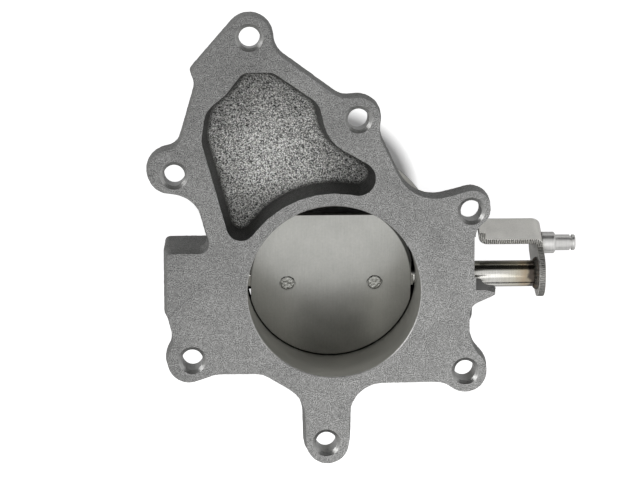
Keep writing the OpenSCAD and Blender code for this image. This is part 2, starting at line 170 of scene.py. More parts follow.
class StageSettings(bpy.types.PropertyGroup):
    distance: bpy.props.FloatProperty(
        name="Camera distance", description="Distance of the camera from the inlet face",
        default=0.9466, min=0.2, max=3, unit="LENGTH")
    tilt: bpy.props.FloatProperty(
        name="Tilt", description="How far the camera leans towards the pocket's side",
        default=math.radians(9.68), min=-1, max=1, subtype="ANGLE")
    turn: bpy.props.FloatProperty(
        name="Turn", description="How far the camera leans towards the blind boss's side",
        default=math.radians(2.23), min=-1, max=1, subtype="ANGLE")
    roll: bpy.props.FloatProperty(
        name="Roll", description="Roll of the camera about its own axis",
        default=math.radians(0.46), min=-1, max=1, subtype="ANGLE")
    lens: bpy.props.FloatProperty(
        name="Lens", description="Focal length of the camera on a 36 mm sensor, in millimetres",
        default=121.46, min=20, max=300)
    world_colour: bpy.props.FloatVectorProperty(
        name="Surroundings", description="Colour of the even light all around", subtype="COLOR",
        size=3, default=(0.6, 0.6, 0.6), min=0, max=1)
    key_power: bpy.props.FloatProperty(
        name="Key lamp", description="Power of the low soft lamp at the upper left, in watts",
        default=3.0, min=0, max=100)
    top_power: bpy.props.FloatProperty(
        name="Top lamp", description="Power of the soft lamp above the part, in watts",
        default=2.2, min=0, max=100)


# Meshes


def add_object(name, vertices, faces, slot=None):
    """A new object from points in millimetres. A part of the casting gets all its materials."""
    mesh = bpy.data.meshes.new(name)
    mesh.from_pydata([Vector(v) * MM for v in vertices], [], faces)
    if slot is not None:
        for material in CASTING_FINISHES:
            mesh.materials.append(bpy.data.materials[material])
        for polygon in mesh.polygons:
            polygon.material_index = slot
    mesh.update()
    piece = bpy.data.objects.new(name, mesh)
    bpy.context.scene.collection.objects.link(piece)
    return piece


def loft(name, rings, slot=CAST):
    """A closed solid through rings of equal length, each counter-clockwise, from low to high."""
    count = len(rings[0])
    vertices = [point for ring in rings for point in ring]
    faces = [tuple(reversed(range(count)))]
    for level in range(len(rings) - 1):
        base = level * count
        for i in range(count):
            j = (i + 1) % count
            faces.append((base + i, base + j, base + count + j, base + count + i))
    last = (len(rings) - 1) * count
    faces.append(tuple(range(last, last + count)))
    return add_object(name, vertices, faces, slot)


def turned(name, profile, slot=CAST, steps=192, centre=(0, 0), slots=None):
    """A solid turned about Z from (radius, height) points that start and end on the axis."""
    inner = profile[1:-1]
    vertices = [(centre[0], centre[1], profile[0][1]), (centre[0], centre[1], profile[-1][1])]
    for radius, height in inner:
        for i in range(steps):
            angle = 2 * math.pi * i / steps
            vertices.append((centre[0] + radius * math.cos(angle),
                             centre[1] + radius * math.sin(angle), height))
    faces = []
    kinds = []
    for i in range(steps):
        j = (i + 1) % steps
        faces.append((0, 2 + j, 2 + i))
        kinds.append(slot)
        for k in range(len(inner) - 1):
            low = 2 + k * steps
            faces.append((low + i, low + j, low + steps + j, low + steps + i))
            kinds.append(slots[k] if slots else slot)
        top = 2 + (len(inner) - 1) * steps
        faces.append((1, top + i, top + j))
        kinds.append(slot)
    piece = add_object(name, vertices, faces, slot)
    for polygon, kind in zip(piece.data.polygons, kinds):
        polygon.material_index = kind
    return piece


def lay_along_x(piece):
    """Turns a solid made about Z so that it lies about X at the shaft's height."""
    turn = Matrix.Translation((0, 0, SHAFT_Z * MM)) @ Matrix.Rotation(math.radians(90), 4, "Y")
    piece.data.transform(turn)
    return piece


def rod(name, radius, low, high, slot=CAST):
    """A rod along X at the shaft's height."""
    profile = [(0, low), (radius, low), (radius, high), (0, high)]
    return lay_along_x(turned(name, profile, slot, 96))


def block(name, low, high, slot=CAST):
    """A cutter or a plain part of the raw casting, from its two corners."""
    ring = [(low[0], low[1]), (high[0], low[1]), (high[0], high[1]), (low[0], high[1])]
    return loft(name, [[(x, y, z) for x, y in ring] for z in (low[2], high[2])], slot)


def take_result(piece):
    """Replaces a piece's mesh by what its modifiers make of it."""
    graph = bpy.context.evaluated_depsgraph_get()
    mesh = bpy.data.meshes.new_from_object(piece.evaluated_get(graph))
    old = piece.data
    piece.modifiers.clear()
    piece.data = mesh
    bpy.data.meshes.remove(old)


def remesh(piece, size):
    """Rebuilds a piece's surface from cells of one size."""
    modifier = piece.modifiers.new("remesh", "REMESH")
    modifier.mode = "VOXEL"
    modifier.voxel_size = size
    take_result(piece)


def swell(piece, distance):
    """Moves a piece's surface outwards along its normals."""
    modifier = piece.modifiers.new("swell", "DISPLACE")
    modifier.direction = "NORMAL"
    modifier.mid_level = 0
    modifier.strength = distance
    take_result(piece)


def soften(piece, repeats):
    modifier = piece.modifiers.new("soften", "SMOOTH")
    modifier.factor = 0.5
    modifier.iterations = repeats
    take_result(piece)


def combine(piece, other, operation):
    """Joins another solid to a piece or cuts it away, and removes the other."""
    modifier = piece.modifiers.new("combine", "BOOLEAN")
    modifier.operation = operation
    modifier.solver = "MANIFOLD"
    modifier.object = other
    take_result(piece)
    bpy.data.objects.remove(other)
    if not piece.data.polygons:
        raise RuntimeError(f"{piece.name} was empty after a {operation.lower()}")


def shade(piece, angle):
    """Smooth shading that stays crisp on edges sharper than an angle in degrees."""
    piece.data.shade_smooth()
    piece.data.set_sharp_from_angle(angle=math.radians(angle))


def copy_of_node(name, node):
    """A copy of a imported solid's mesh with its doubled corners welded."""
    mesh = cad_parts[node].data.copy()
    mesh.name = name
    shape = bmesh.new()
    shape.from_mesh(mesh)
    bmesh.ops.remove_doubles(shape, verts=shape.verts, dist=0.002 * MM)
    shape.to_mesh(mesh)
    shape.free()
    mesh.materials.clear()
    piece = bpy.data.objects.new(name, mesh)
    bpy.context.scene.collection.objects.link(piece)
    return piece


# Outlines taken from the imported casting


def signed_area(loop):
    """The area inside a loop, negative when it runs clockwise."""
    count = len(loop)
    return sum(loop[i].x * loop[(i + 1) % count].y - loop[(i + 1) % count].x * loop[i].y
               for i in range(count)) / 2


def face_loops():
    """The edges of the casting's machined face as counter-clockwise loops, in millimetres."""
    shape = bmesh.new()
    shape.from_mesh(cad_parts["housing"].data)
    bmesh.ops.remove_doubles(shape, verts=shape.verts, dist=0.002 * MM)
    top = [f for f in shape.faces
           if f.normal.z > 0.99 and f.calc_center_median().z > (FACE_Z - 0.05) * MM]
    inside = set(top)
    ahead = {}
    for face in top:
        for corner in face.loops:
            if not any(f in inside for f in corner.edge.link_faces if f is not face):
                ahead[corner.vert.index] = corner.link_loop_next.vert.index
    shape.verts.ensure_lookup_table()
    places = {i: shape.verts[i].co.xy / MM for i in ahead}
    shape.free()
    loops = []
    while ahead:
        start = next(iter(ahead))
        loop = []
        here = start
        while here in ahead:
            place = places[here]
            if not loop or (place - loop[-1]).length > 0.02:
                loop.append(place)
            here = ahead.pop(here)
        if (loop[0] - loop[-1]).length < 0.02:
            loop.pop()
        if signed_area(loop) < 0:
            loop.reverse()
        loops.append(loop)
    return sorted(loops, key=signed_area, reverse=True)


def pocket_loop(loops):
    """The pocket's edge: the large loop, inside the flange's own, that reaches highest."""
    return next(loop for loop in loops[1:]
                if max(p.y for p in loop) > 90 and signed_area(loop) > 800)


def grown(loop, distance):
    """The loop moved outwards by a distance in millimetres, or by one for each of its points."""
    count = len(loop)
    result = []
    for i, point in enumerate(loop):
        before = (point - loop[i - 1]).normalized()
        after = (loop[(i + 1) % count] - point).normalized()
        normal = Vector((before.y + after.y, -before.x - after.x)).normalized()
        lean = max(0.5, normal.dot(Vector((after.y, -after.x))))
        step = distance(point) if callable(distance) else distance
        result.append(point + normal * step / lean)
    return result


def at_height(loop, height):
    return [(p.x, p.y, height) for p in loop]


# Materials


class Finish:
    """One node material. Its coordinates are in millimetres on the piece."""

    def __init__(self, name, colour, metallic, roughness):
        self.material = bpy.data.materials.new(name)
        self.material.use_nodes = True
        self.tree = self.material.node_tree
        self.shader = self.tree.nodes["Principled BSDF"]
        self.shader.inputs["Base Color"].default_value = (*colour, 1)
        self.shader.inputs["Metallic"].default_value = metallic
        self.shader.inputs["Roughness"].default_value = roughness
        place = self.node("ShaderNodeTexCoord")
        scale = self.node("ShaderNodeVectorMath", operation="SCALE")
        scale.inputs["Scale"].default_value = 1 / MM
        self.link(place.outputs["Object"], scale.inputs[0])
        self.place = scale.outputs[0]
        self.colour = None
        self.start_colour = colour
        self.normal = None

    def node(self, kind, **settings):
        made = self.tree.nodes.new(kind)
        for name, value in settings.items():
            setattr(made, name, value)
        return made

    def link(self, source, target):
        self.tree.links.new(source, target)

    def feed(self, target, value):
        if hasattr(value, "links"):
            self.link(value, target)
        else:
            target.default_value = value

    def stretched(self, x, y, z):
        """The place, stretched by a factor along each axis."""
        product = self.node("ShaderNodeVectorMath", operation="MULTIPLY")
        self.link(self.place, product.inputs[0])
        product.inputs[1].default_value = (x, y, z)
        return product.outputs[0]

    def noise(self, scale, detail=3, roughness=0.5, place=None):
        made = self.node("ShaderNodeTexNoise")
        self.link(place or self.place, made.inputs["Vector"])
        made.inputs["Scale"].default_value = scale
        made.inputs["Detail"].default_value = detail
        made.inputs["Roughness"].default_value = roughness
        return made.outputs["Fac"]

    def cells(self, scale):
        made = self.node("ShaderNodeTexVoronoi")
        self.link(self.place, made.inputs["Vector"])
        made.inputs["Scale"].default_value = scale
        return made.outputs["Distance"]

    def ramp(self, value, low, high, to_low=0.0, to_high=1.0):
        made = self.node("ShaderNodeMapRange", clamp=True)
        self.feed(made.inputs["Value"], value)
        for name, number in (("From Min", low), ("From Max", high),
                             ("To Min", to_low), ("To Max", to_high)):
            made.inputs[name].default_value = number
        return made.outputs["Result"]

    def math(self, operation, first, second=0.0):
        made = self.node("ShaderNodeMath", operation=operation)
        self.feed(made.inputs[0], first)
        self.feed(made.inputs[1], second)
        return made.outputs[0]

    def axis(self, name):
        made = self.node("ShaderNodeSeparateXYZ")
        self.link(self.place, made.inputs[0])
        return made.outputs[name]

    def mix(self, blend_type, amount):
        """Mixes over the colour so far, and returns the socket for what is mixed in."""
        made = self.node("ShaderNodeMix", data_type="RGBA", blend_type=blend_type)
        self.feed(made.inputs["Factor"], amount)
        if self.colour is None:
            made.inputs[6].default_value = (*self.start_colour, 1)
        else:
            self.link(self.colour, made.inputs[6])
        self.colour = made.outputs[2]
        self.link(self.colour, self.shader.inputs["Base Color"])
        return made.inputs[7]

    def paint(self, colour, amount):
        """Mixes a colour over what is there, by an amount from 0 to 1."""
        self.mix("MIX", amount).default_value = (*colour, 1)

    def tone(self, value, low, high, start=0.25, end=0.75):
        """Multiplies the colour by a grey that follows a value."""
        self.link(self.ramp(value, start, end, low, high), self.mix("MULTIPLY", 1.0))

    def gloss(self, value, low, high):
        self.link(self.ramp(value, 0.25, 0.75, low, high), self.shader.inputs["Roughness"])

    def relief(self, height, depth):
        """Adds relief from a height between 0 and 1, with a depth in millimetres."""
        made = self.node("ShaderNodeBump")
        made.inputs["Strength"].default_value = 1
        made.inputs["Distance"].default_value = depth * MM
        self.feed(made.inputs["Height"], height)
        if self.normal is not None:
            self.link(self.normal, made.inputs["Normal"])
        self.normal = made.outputs["Normal"]
        self.link(self.normal, self.shader.inputs["Normal"])


def lighter(colour, factor):
    return tuple(min(1.0, c * factor) for c in colour)


def cast_finish(colour):
    """Shot-blasted cast iron: coarse grain, dark pits and bright peaks."""
    finish = Finish("cast_skin", colour, 0.55, 0.5)
    grain = finish.noise(1.5, 2, 0.6)
    fine = finish.noise(3.2, 2, 0.7)
    finish.tone(finish.noise(0.05, 3), 0.85, 1.15)
    finish.paint(lighter(colour, 2.4), finish.ramp(grain, 0.52, 0.72, 0, 0.8))
    finish.paint(lighter(colour, 0.35), finish.ramp(grain, 0.46, 0.32, 0, 0.85))
    finish.gloss(fine, 0.35, 0.65)
    finish.relief(grain, 0.30)
    finish.relief(fine, 0.12)
    return finish.material


def pocket_finish(colour):
    """The blasted pocket: glittering grain on the floor, and painted shade on its walls and corners.
    """
    finish = Finish("pocket_skin", colour, 0.6, 0.45)
    grain = finish.noise(1.7, 2, 0.6)
    fine = finish.noise(2.9, 2, 0.7)
    finish.tone(finish.noise(0.06, 3), 0.80, 1.15)
    finish.tone(grain, 0.06, 2.6, 0.36, 0.66)
    finish.tone(fine, 0.16, 2.0, 0.36, 0.64)
    # painted shade: the floor is lighter in the middle of the pocket and darker towards its walls
    away = finish.node("ShaderNodeVectorMath", operation="DISTANCE")
    finish.link(finish.place, away.inputs[0])
    away.inputs[1].default_value = (-25, 54, 55)
    finish.tone(away.outputs["Value"], 1.55, 0.42, 8.0, 46.0)
    # painted shade: the pocket's walls, above the floor, are painted nearly black
    finish.paint(lighter(colour, 0.12), finish.ramp(finish.axis("Z"), 55.7, 58.5, 0, 0.86))
    finish.gloss(fine, 0.35, 0.60)
    finish.relief(grain, 0.35)
    finish.relief(fine, 0.12)
    return finish.material


def face_finish(colour):
    """Ground cast iron: a fine speckle of graphite, faint clouds and grinding marks."""
    finish = Finish("machined_face", colour, 0.80, 0.42)
    speck = finish.noise(2.1, 2, 0.7)
    clouds = finish.noise(0.035, 4, 0.55)
    finish.tone(clouds, 0.86, 1.10)
    finish.tone(finish.noise(0.12, 3, 0.6), 0.90, 1.08)
    finish.tone(finish.noise(0.55, 3, 0.7), 0.80, 1.18, 0.34, 0.66)
    finish.tone(speck, 0.16, 1.66, 0.32, 0.68)
    # painted shading: the face is lighter towards the bottom and towards the right, as the light
    # falls on it
    finish.tone(finish.axis("Y"), 1.16, 0.80, -70.0, 120.0)
    finish.tone(finish.axis("X"), 0.84, 1.03, -70.0, 40.0)
    dark = finish.cells(0.32)
    finish.paint(lighter(colour, 0.45), finish.ramp(dark, 0.20, 0.06, 0, 0.5))
    marks = finish.noise(1.2, 2, 0.5, finish.stretched(0.12, 2.2, 1))
    finish.tone(marks, 0.95, 1.05)
    finish.gloss(speck, 0.36, 0.50)
    finish.relief(speck, 0.03)
    finish.relief(marks, 0.006)
    return finish.material


def bored_finish(colour):
    """A bored wall with fine turning lines and a band of painted shade below the closed plate's rim.
    """
    finish = Finish("bored_wall", colour, 0.65, 0.36)
    lines = finish.noise(1.0, 3, 0.6, finish.stretched(0.05, 0.05, 3.2))
    finish.tone(lines, 0.86, 1.14)
    finish.tone(finish.noise(0.06, 3), 0.82, 1.15)
    above = finish.node("ShaderNodeVectorMath", operation="DOT_PRODUCT")
    finish.link(finish.place, above.inputs[0])
    tilt = math.radians(PLATE_TILT)
    above.inputs[1].default_value = (0, -math.sin(tilt), math.cos(tilt))
    seat = SHAFT_Z * math.cos(tilt) + PLATE_FACE
    height = above.outputs["Value"]
    wander = finish.ramp(finish.noise(0.12, 3), 0.3, 0.7, -3.0, 3.0)
    lowest = finish.ramp(finish.math("ADD", height, wander), seat - 18.0, seat - 8.0)
    highest = finish.ramp(height, seat + 0.75, seat + 0.45, 0, 0.95)
    # painted shade: the bore wall under and just past the closed plate's rim is painted nearly black
    finish.paint((0.006, 0.006, 0.005), finish.math("MULTIPLY", lowest, highest))
    finish.gloss(lines, 0.30, 0.45)
    finish.relief(lines, 0.012)
    return finish.material


def drilled_finish(colour):
    """The drilled holes and their countersinks, brighter than the face."""
    finish = Finish("drilled_hole", colour, 0.9, 0.3)
    lines = finish.noise(1.0, 3, 0.6, finish.stretched(0.3, 0.3, 4.0))
    finish.tone(lines, 0.80, 1.15)
    finish.tone(finish.noise(0.9, 3), 0.85, 1.12)
    finish.gloss(lines, 0.24, 0.40)
    finish.relief(lines, 0.02)
    return finish.material


def edge_highlight_finish(colour):
    """A freshly broken edge, with its colour lifted above the faces beside it as a painted
    highlight.
    """
    finish = Finish("broken_edge_highlight", colour, 0.6, 0.4)
    wear = finish.noise(0.8, 3, 0.6)
    finish.tone(wear, 0.55, 1.2)
    finish.relief(wear, 0.02)
    return finish.material


def milled_finish(colour):
    """The milled notch beside the drive boss, with the cutter's arcs."""
    finish = Finish("milled_notch", colour, 0.8, 0.4)
    lines = finish.noise(1.0, 2, 0.5, finish.stretched(0.2, 0.2, 2.6))
    finish.tone(lines, 0.82, 1.12)
    finish.tone(finish.noise(1.4, 3, 0.7), 0.82, 1.15)
    finish.relief(lines, 0.02)
    return finish.material


def plate_finish(colour, screw_places):
    """Satin rolled sheet, dark rings at the riveted ends with painted shadow above, painted shade on
    the upper rim.
    """
    finish = Finish("plate_satin", colour, 0.9, 0.30)
    brushed = finish.noise(1.0, 3, 0.6, finish.stretched(2.4, 0.12, 0.12))
    mottled = finish.noise(0.09, 3, 0.5)
    finish.tone(mottled, 0.92, 1.06)
    finish.tone(brushed, 0.94, 1.05)
    finish.tone(finish.noise(0.9, 3, 0.7), 0.93, 1.06)
    for place, lean in screw_places:
        away = finish.node("ShaderNodeVectorMath", operation="DISTANCE")
        finish.link(finish.place, away.inputs[0])
        away.inputs[1].default_value = place
        ring = finish.math("SUBTRACT", away.outputs["Value"], SCREW_JOINT_RING_R)
        width = finish.ramp(finish.noise(0.55, 2, 0.5), 0.35, 0.65, 0.10, 0.45)
        near = finish.math("LESS_THAN", finish.math("ABSOLUTE", ring), width)
        side = finish.ramp(finish.math("ADD", finish.axis("Y"), lean), -1.0, 2.5, 0.15, 1.0)
        # a dark joint ring around the screw's end, made darker on its upper arc as painted shadow
        finish.paint((0.03, 0.03, 0.028), finish.math("MULTIPLY", near, side))
    # painted shade: the upper part of the plate's rim is painted nearly black, as the shadow in the
    # gap to the bore
    from_axis = finish.node("ShaderNodeVectorMath", operation="LENGTH")
    finish.link(finish.stretched(1, 1, 0), from_axis.inputs[0])
    rim = finish.ramp(from_axis.outputs["Value"], 35.7, 36.1, 0, 0.92)
    upper = finish.ramp(finish.axis("Y"), -2.0, 8.0)
    finish.paint((0.02, 0.02, 0.018), finish.math("MULTIPLY", rim, upper))
    finish.gloss(mottled, 0.28, 0.33)
    finish.relief(brushed, 0.0015)
    return finish.material


def turned_finish(name, colour, roughness, pitch, depth, dark=0.85):
    """Steel turned or ground about X, with fine lines around it."""
    finish = Finish(name, colour, 1.0, roughness)
    lines = finish.noise(1.0, 3, 0.7, finish.stretched(pitch, 0.12, 0.12))
    finish.tone(lines, dark, 1.08)
    finish.tone(finish.noise(0.5, 3), 0.92, 1.05)
    finish.gloss(lines, roughness * 0.8, roughness * 1.35)
    finish.relief(lines, depth)
    return finish


def shaft_finish(colour, heat):
    """A ground shaft, with painted shade on its upper side and a heat tint that darkens to the weld.
    """
    finish = turned_finish("shaft_ground", colour, 0.17, 2.6, 0.006)
    along = finish.axis("X")
    wander = finish.ramp(finish.noise(0.25, 2), 0.3, 0.7, -1.2, 1.2)
    shifted = finish.math("ADD", along, wander)
    # painted shade: a dark band on the shaft's upper side stands in for the dark reflection there
    finish.paint((0.10, 0.095, 0.07), finish.ramp(finish.axis("Y"), 2.0, 3.2, 0, 0.85))
    finish.paint((0.46, 0.42, 0.31), finish.ramp(shifted, 76.0, 85.0, 0, 0.6))
    finish.paint(heat, finish.ramp(shifted, 84.5, 88.5, 0, 0.7))
    finish.paint((0.30, 0.27, 0.21), finish.ramp(shifted, 88.5, 90.0, 0, 0.6))
    finish.paint((0.06, 0.05, 0.045), finish.ramp(shifted, 90.2, 91.4, 0, 0.92))
    return finish.material


def screw_finish():
    """Peened steel ends: dull, dented and partly soiled."""
    finish = Finish("screw_peened", (0.46, 0.46, 0.43), 0.95, 0.36)
    dents = finish.noise(0.9, 2, 0.5)
    finish.tone(dents, 0.62, 1.15)
    finish.paint((0.10, 0.10, 0.09), finish.ramp(finish.noise(0.6, 3), 0.40, 0.30, 0, 0.8))
    finish.relief(dents, 0.10)
    return finish.material


def bushing_finish(colour):
    finish = turned_finish("bushing_bronze", colour, 0.4, 1.6, 0.01, 0.8)
    finish.paint(lighter(colour, 0.4), finish.ramp(finish.cells(1.3), 0.25, 0.10, 0, 0.7))
    return finish.material


def lever_finish(colour):
    """Rolled steel sheet: satin, faintly mottled, with a fine grain."""
    finish = Finish("lever_sheet", colour, 0.92, 0.36)
    grain = finish.noise(1.8, 3, 0.7)
    finish.tone(finish.noise(0.11, 3), 0.90, 1.08)
    finish.tone(grain, 0.90, 1.09)
    finish.gloss(grain, 0.31, 0.42)
    finish.relief(grain, 0.015)
    return finish.material


def sheared_finish(name, colour, around, pitch):
    """A sheared edge: torn, with dark and light score lines across the sheet."""
    finish = Finish(name, colour, 0.9, 0.38)
    torn = finish.noise(1.4, 3, 0.6)
    along = finish.axis("X")
    if around:
        rise = finish.math("SUBTRACT", finish.axis("Z"), SHAFT_Z)
        along = finish.math("MULTIPLY", finish.math("ARCTAN2", finish.axis("Y"), rise), HUB_R)
    phase = finish.math("MULTIPLY", along, 2 * math.pi / pitch)
    wander = finish.math("MULTIPLY", finish.noise(0.5, 2, 0.6), 9.0)
    wave = finish.math("SINE", finish.math("ADD", phase, wander))
    uneven = finish.math("MULTIPLY", wave, finish.ramp(finish.noise(0.4, 2), 0.3, 0.6, 0.3, 1.0))
    finish.tone(torn, 0.75, 1.2)
    finish.tone(uneven, 0.30, 1.75, -0.8, 0.8)
    finish.relief(torn, 0.05)
    finish.relief(uneven, 0.06)
    return finish.material


def weld_finish(colour):
    finish = Finish("weld_scale", colour, 0.6, 0.5)
    scale = finish.noise(1.2, 3, 0.6)
    finish.tone(scale, 0.5, 1.3)
    finish.paint((0.22, 0.15, 0.09), finish.ramp(finish.noise(0.5, 3), 0.55, 0.68, 0, 0.6))
    finish.gloss(scale, 0.38, 0.6)
    finish.relief(scale, 0.06)
    return finish.material


# Pieces


def cast_body(settings):
    """The raw casting before any machining: one skin with fillets, draft and cast grain."""
    loops = face_loops()
    flange = loops[0]
    pocket = pocket_loop(loops)
    draft = settings.flange_draft / MM
    lean = settings.pocket_draft / MM
    stock = 1.6

    def flange_step(height):
        """The cast edge leans, but the milled sides beside the lever stand straight."""
        amount = draft * (height - FLANGE_Z) / (FACE_Z - FLANGE_Z)

        def at(point):
            side = abs(point.x - SIDE_X) < 0.05 and EAR_Y < point.y < NOTCH_END_Y + 0.1
            ear = abs(point.y - EAR_Y) < 0.3 and SIDE_X < point.x < 70
            return 0.9 if side or ear else -amount
        return at

    rings = []
    for height, inset in ((FLANGE_Z, 1.3), (FLANGE_Z + 0.4, 0.5), (FLANGE_Z + 1.4, 0)):
        rings.append(at_height(grown(flange, -inset), height))
    for height in (FLANGE_Z + 7, FACE_Z + stock):
        rings.append(at_height(grown(flange, flange_step(height)), height))
    parts = [loft("raw_flange", rings)]

    rings = []
    corner = 4.0
    for step in range(7):
        angle = math.radians(90 * (1 - step / 6))
        rings.append(at_height(grown(pocket, 3.4 - corner * (1 - math.cos(angle))),
                               54.5 - corner * math.sin(angle)))
    rings.append(at_height(grown(pocket, 4.5), FLANGE_Z + 1))
    parts.append(loft("raw_pocket_back", rings))

    parts.append(turned("raw_barrel", [
        (0, -0.9), (55.7, -0.9), (55.7, 5.1), (50.2, 7.0), (50.0, 12), (44.2, 24), (44.1, 67),
        (0, 67)]))
    parts.append(lay_along_x(turned("raw_blind_boss", [
        (0, -75), (17.0, -75), (18.0, -74.6), (18.5, -73.5), (18.5, 0), (0, 0)])))
    parts.append(block("raw_blind_block", (-75, -12, SHAFT_Z), (-36, 18.5, FLANGE_Z + 1)))
    parts.append(rod("raw_drive_boss", 15, 0, SIDE_X + 0.8))
    parts.append(block("raw_drive_block", (0, -15, SHAFT_Z), (SIDE_X + 0.8, 15, FLANGE_Z + 1)))
    parts.append(block("raw_rib", (SIDE_X - 1, -4.7, 51.5), (67.5, EAR_Y + 1.5, FLANGE_Z + 1)))

    body = parts[0]
    for part in parts[1:]:
        combine(body, part, "UNION")
    remesh(body, settings.voxel * 1.3)
    swell(body, settings.fillet)
    remesh(body, settings.voxel * 1.3)
    swell(body, -settings.fillet)

    rings = []
    corner = 2.6
    low = POCKET_FLOOR_Z + corner
    for step in range(9):
        angle = math.radians(90 * (1 - step / 8))
        inset = lean * (FACE_Z - low) / (FACE_Z - POCKET_FLOOR_Z) + corner * (1 - math.cos(angle))
        rings.append(at_height(grown(pocket, -inset), low - corner * math.sin(angle)))
    for height in (FACE_Z, FACE_Z + 4):
        inset = lean * (FACE_Z - height) / (FACE_Z - POCKET_FLOOR_Z)
        rings.append(at_height(grown(pocket, -inset), height))
    combine(body, loft("pocket_cavity", rings), "DIFFERENCE")
    remesh(body, settings.voxel)
    soften(body, 3)
    roughen(body, settings.skin)
    return body


def roughen(piece, depth):
    """Moves each point of a cast skin along its normal by a fixed grain."""
    mesh = piece.data
    moved = []
    for vertex in mesh.vertices:
        place = vertex.co / MM
        value = (noise.noise(place * 0.55) + 0.7 * noise.noise(place * 1.1)
                 + 0.5 * noise.noise(place * 0.12))
        moved.append(vertex.co + vertex.normal * depth * value)
    for vertex, place in zip(mesh.vertices, moved):
        vertex.co = place
    mesh.update()


def machine(body):
    """Cuts the machined faces and holes into the raw casting."""
    combine(body, block("face_cut", (-130, -130, FACE_Z), (130, 160, FACE_Z + 9), FACE),
            "DIFFERENCE")
    combine(body, block("lip_cut", (-90, -90, -8), (90, 90, 0), FACE), "DIFFERENCE")
    ring = turned("lip_outer", [
        (0, -3), (LIP_R + 7, -3), (LIP_R + 7, 9), (NECK_R, 9), (NECK_R, 6.32), (LIP_R, 4.5),
        (LIP_R, 0.8), (LIP_R - 0.8, 0), (LIP_R - 0.8, -2), (0, -2)], BORE)
    combine(body, ring, "DIFFERENCE")
    bore = turned("bore_cut", [
        (0, -2), (MOUTH_R + 0.6, -2), (MOUTH_R + 0.6, 0), (MOUTH_R, 0.6), (MOUTH_R, 6),
        (BORE_R, 24), (BORE_R, FACE_Z - 0.4), (BORE_R + 1.4, FACE_Z + 1), (0, FACE_Z + 1)],
        BORE, 256, slots=[BORE, EDGE, BORE, BORE, BORE, EDGE])
    combine(body, bore, "DIFFERENCE")
    for x, y in HOLES:
        hole = turned("hole_cut", [
            (0, FLANGE_Z - 9), (HOLE_R, FLANGE_Z - 9), (HOLE_R, FACE_Z - 1.5),
            (HOLE_R + 2.5, FACE_Z + 1), (0, FACE_Z + 1)], DRILLED, 96, (x, y))
        combine(body, hole, "DIFFERENCE")
    notch = [(SIDE_X + 0.8, EAR_Y), (87, EAR_Y), (87, NOTCH_END_Y), (SIDE_X, NOTCH_END_Y),
             (SIDE_X, 7.4), (SIDE_X + 0.15, 6.7), (SIDE_X + 0.65, 6.0), (SIDE_X + 0.8, 5.3)]
    combine(body, loft("notch_cut", [[(x, y, z) for x, y in notch] for z in (50.5, 84)], MILLED),
            "DIFFERENCE")
    combine(body, block("boss_end_cut", (SIDE_X, -22, 15), (80, 22, 50.5), MILLED), "DIFFERENCE")
    for radius, low, high in ((6.3, -71, 63), (8, -71.5, -54), (10, -77, -70.5), (8, 45, 63)):
        combine(body, rod("shaft_cut", radius, low, high, slot=DRILLED), "DIFFERENCE")


def break_edges(piece, width):
    """Breaks the edge between the machined face and the cast skin, as a file does."""
    shape = bmesh.new()
    shape.from_mesh(piece.data)
    edges = []
    for edge in shape.edges:
        kinds = {face.material_index for face in edge.link_faces}
        if kinds == {CAST, FACE} and edge.verts[0].co.z > (FACE_Z - 0.1) * MM:
            edges.append(edge)
    bmesh.ops.bevel(shape, geom=edges, offset=width, segments=1, affect="EDGES",
                    clamp_overlap=True, material=EDGE)
    shape.to_mesh(piece.data)
    shape.free()


def inside(loop, x, y):
    """Whether a place lies inside a loop, by counting the edges to its right."""
    within = False
    last = loop[-1]
    for point in loop:
        if (point.y > y) != (last.y > y):
            if x < (last.x - point.x) * (y - point.y) / (last.y - point.y) + point.x:
                within = not within
        last = point
    return within


def mark_pocket(body):
    """Gives the cast surfaces inside the pocket their own finish."""
    rim = grown(pocket_loop(face_loops()), 0.6)
    low = min(p.x for p in rim), min(p.y for p in rim)
    high = max(p.x for p in rim), max(p.y for p in rim)
    for polygon in body.data.polygons:
        place = polygon.center / MM
        if polygon.material_index != CAST or place.z < POCKET_FLOOR_Z - 0.7:
            continue
        if low[0] < place.x < high[0] and low[1] < place.y < high[1]:
            if inside(rim, place.x, place.y):
                polygon.material_index = POCKET


def round_mark(body):
    """The raised round mark on the pocket's floor, with a sunk ring around it."""
    place = (-41, 35.5)
    floor = POCKET_FLOOR_Z
    groove = turned("mark_groove", [
        (0, floor - 0.45), (4.9, floor - 0.45), (5.3, floor + 1.5), (0, floor + 1.5)], CAST, 64,
        place)
    combine(body, groove, "DIFFERENCE")
    disc = turned("mark_disc", [
        (0, floor - 1.5), (4.0, floor - 1.5), (4.0, floor + 0.2), (3.7, floor + 0.5),
        (0, floor + 0.6)], CAST, 64, place)
    combine(body, disc, "UNION")


def finish_node(node, material, radius=0.0):
    """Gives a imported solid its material, and small rounded edges by a modifier."""
    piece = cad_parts[node]
    piece.data.materials.clear()
    piece.data.materials.append(material)
    for polygon in piece.data.polygons:
        polygon.material_index = 0
    if radius:
        weld = piece.modifiers.new("weld", "WELD")
        weld.merge_threshold = 0.002 * MM
        bevel = piece.modifiers.new("edges", "BEVEL")
        bevel.width = radius
        bevel.segments = 2
        bevel.limit_method = "ANGLE"
        bevel.angle_limit = math.radians(40)


